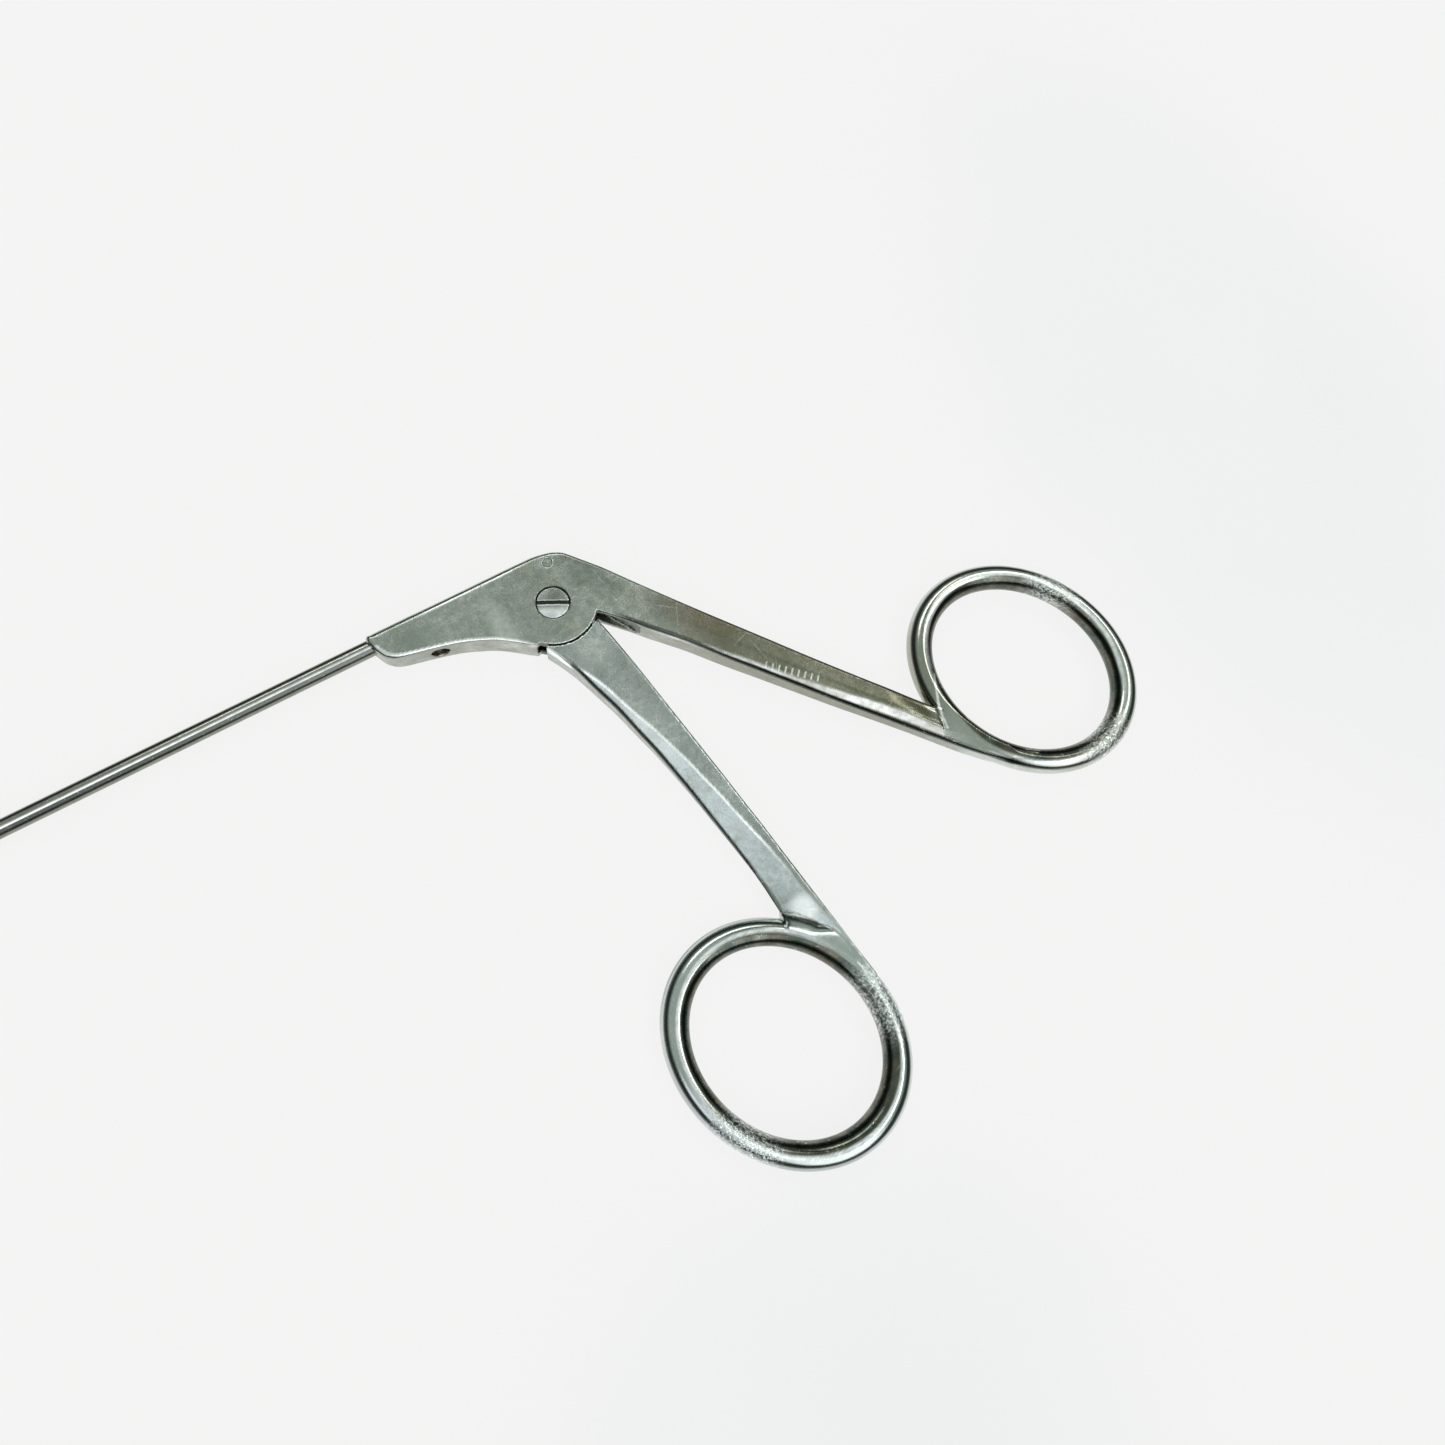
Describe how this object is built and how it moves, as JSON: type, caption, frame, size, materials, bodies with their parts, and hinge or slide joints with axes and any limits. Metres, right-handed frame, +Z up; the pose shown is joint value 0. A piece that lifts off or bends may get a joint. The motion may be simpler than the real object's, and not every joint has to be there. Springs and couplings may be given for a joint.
{
  "type": "laryngeal grasping forceps",
  "caption": "Ring-handled tubular grasping forceps: a pivoting finger lever slides a rod in a thin straight shaft to work a serrated jaw.",
  "frame": {"origin": "on the lever's pivot axis, in the plane the instrument lies on, at the flush tail end of the pivot screw", "axes": "+Z up, normal to the flat body plate; +X back along the shaft towards the hand, so the jaws are at -X; +Y towards the spine side of the body, with the finger rings on the -Y side"},
  "size_m": [0.2969, 0.0974, 0.005],
  "materials": {
    "satin_steel": "satin stainless, worn, finger rings polished",
    "polished_steel": "bright drawn stainless tube",
    "screw_steel": "turned stainless",
    "jaw_steel": "satin stainless with machined teeth",
    "pin_steel": "ground stainless"
  },
  "bodies": {
    "fixed_body": {"fixed_handle": "satin_steel", "pivot_screw": "screw_steel", "access_plug": "screw_steel", "shaft_set_screw": "screw_steel", "shaft_tube": "polished_steel", "fixed_jaw": "jaw_steel", "jaw_pivot_pin": "pin_steel"},
    "lever": {"moving_lever": "satin_steel", "lever_drive_pin": "pin_steel"},
    "rod": {"drive_rod": "pin_steel", "rod_end_eye": "pin_steel", "rod_front_blade": "pin_steel", "jaw_drive_pin": "pin_steel"},
    "jaw": {"moving_jaw": "jaw_steel"}
  },
  "joints": [
    {"name": "lever_pivot", "type": "hinge", "parent": "fixed_body", "child": "lever", "pos_m": [0, 0, 0.0025], "axis": [0, 0, 1], "range_deg": [-10, 9.5]},
    {"name": "rod_slide", "type": "slide", "parent": "fixed_body", "child": "rod", "axis": [-1, 0, 0], "range_m": [-0.00107, 0.00102]},
    {"name": "jaw_pivot", "type": "hinge", "parent": "fixed_body", "child": "jaw", "pos_m": [-0.213, 0.0071, 0.0025], "axis": [0, 0, 1], "range_deg": [-18.96, 18.01]}
  ],
  "couplings": [
    {"joint": "rod_slide", "follows": "lever_pivot", "m_per_rad": 0.0061058},
    {"joint": "jaw_pivot", "follows": "lever_pivot", "ratio": 1.8947}
  ]
}
